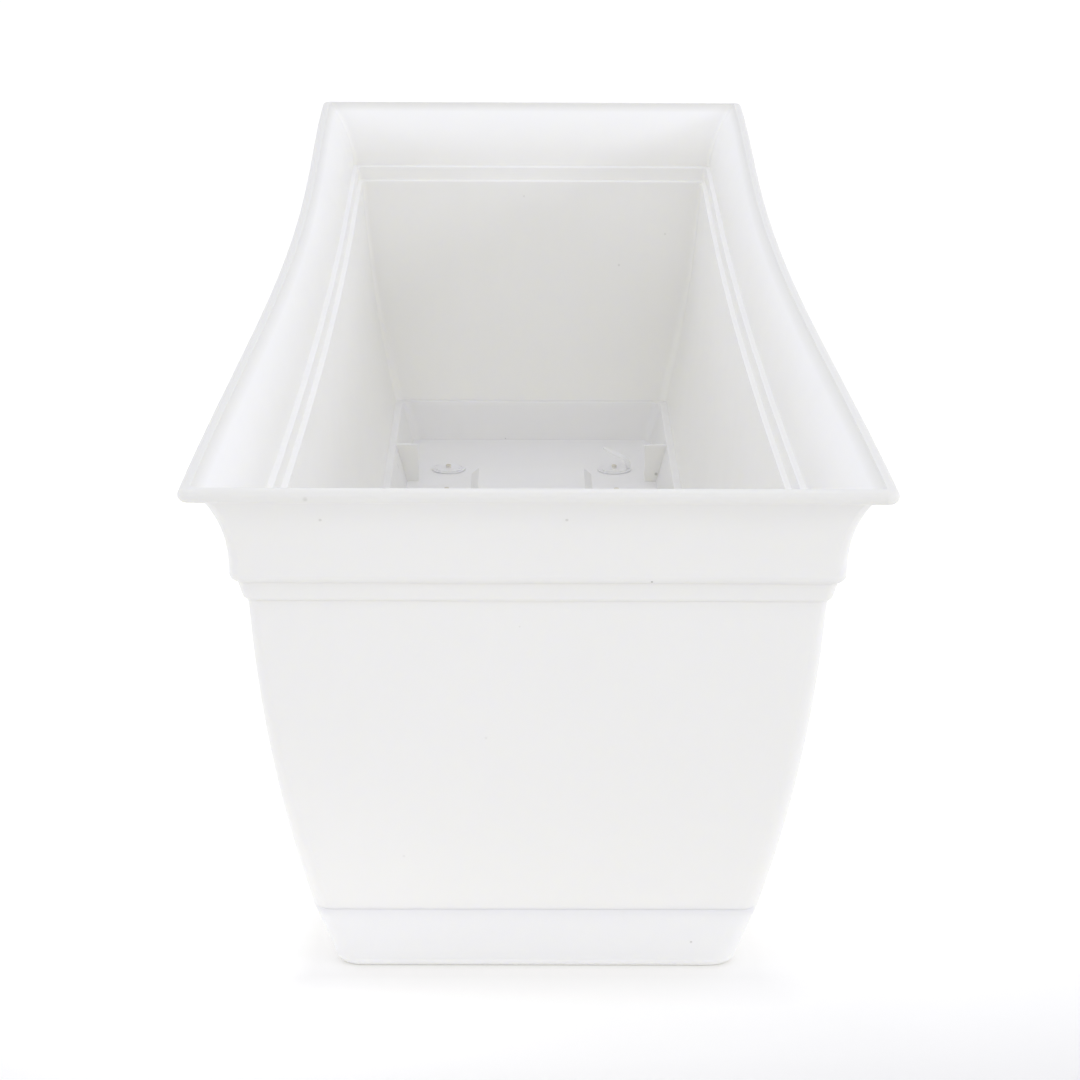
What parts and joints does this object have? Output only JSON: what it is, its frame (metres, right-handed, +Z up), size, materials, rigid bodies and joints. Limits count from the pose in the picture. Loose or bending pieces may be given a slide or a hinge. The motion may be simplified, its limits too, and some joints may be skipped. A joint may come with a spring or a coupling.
{
  "type": "self watering planter",
  "caption": "Long rectangular window-box planter in white moulded plastic, with a flared rim, a clip-under water tray and push-in drain plugs.",
  "frame": {"origin": "on the ground, under the centre of the planter", "axes": "+Z up, +Y along the planter's length, +X across its width"},
  "size_m": [0.232, 0.762, 0.188],
  "materials": {
    "box_plastic": "satin white injection-moulded polypropylene",
    "tray_plastic": "satin white injection-moulded polypropylene",
    "plug_plastic": "satin white flexible polyethylene"
  },
  "bodies": {
    "tray": {"water_tray": "tray_plastic"},
    "box": {"planter_body": "box_plastic"},
    "plug_1": {"drain_plug_1": "plug_plastic"},
    "plug_2": {"drain_plug_2": "plug_plastic"},
    "plug_3": {"drain_plug_3": "plug_plastic"},
    "plug_4": {"drain_plug_4": "plug_plastic"},
    "plug_5": {"drain_plug_5": "plug_plastic"},
    "plug_6": {"drain_plug_6": "plug_plastic"},
    "plug_7": {"drain_plug_7": "plug_plastic"},
    "plug_8": {"drain_plug_8": "plug_plastic"}
  },
  "joints": [
    {"name": "box_lift", "type": "slide", "parent": "tray", "child": "box", "axis": [0, 0, 1], "range_m": [0, 0.04]},
    {"name": "plug_1_pull", "type": "slide", "parent": "box", "child": "plug_1", "axis": [0, 0, 1], "range_m": [0, 0.012]},
    {"name": "plug_2_pull", "type": "slide", "parent": "box", "child": "plug_2", "axis": [0, 0, 1], "range_m": [0, 0.012]},
    {"name": "plug_3_pull", "type": "slide", "parent": "box", "child": "plug_3", "axis": [0, 0, 1], "range_m": [0, 0.012]},
    {"name": "plug_4_pull", "type": "slide", "parent": "box", "child": "plug_4", "axis": [0, 0, 1], "range_m": [0, 0.012]},
    {"name": "plug_5_pull", "type": "slide", "parent": "box", "child": "plug_5", "axis": [0, 0, 1], "range_m": [0, 0.012]},
    {"name": "plug_6_pull", "type": "slide", "parent": "box", "child": "plug_6", "axis": [0, 0, 1], "range_m": [0, 0.012]},
    {"name": "plug_7_pull", "type": "slide", "parent": "box", "child": "plug_7", "axis": [0, 0, 1], "range_m": [0, 0.012]},
    {"name": "plug_8_pull", "type": "slide", "parent": "box", "child": "plug_8", "axis": [0, 0, 1], "range_m": [0, 0.012]}
  ]
}
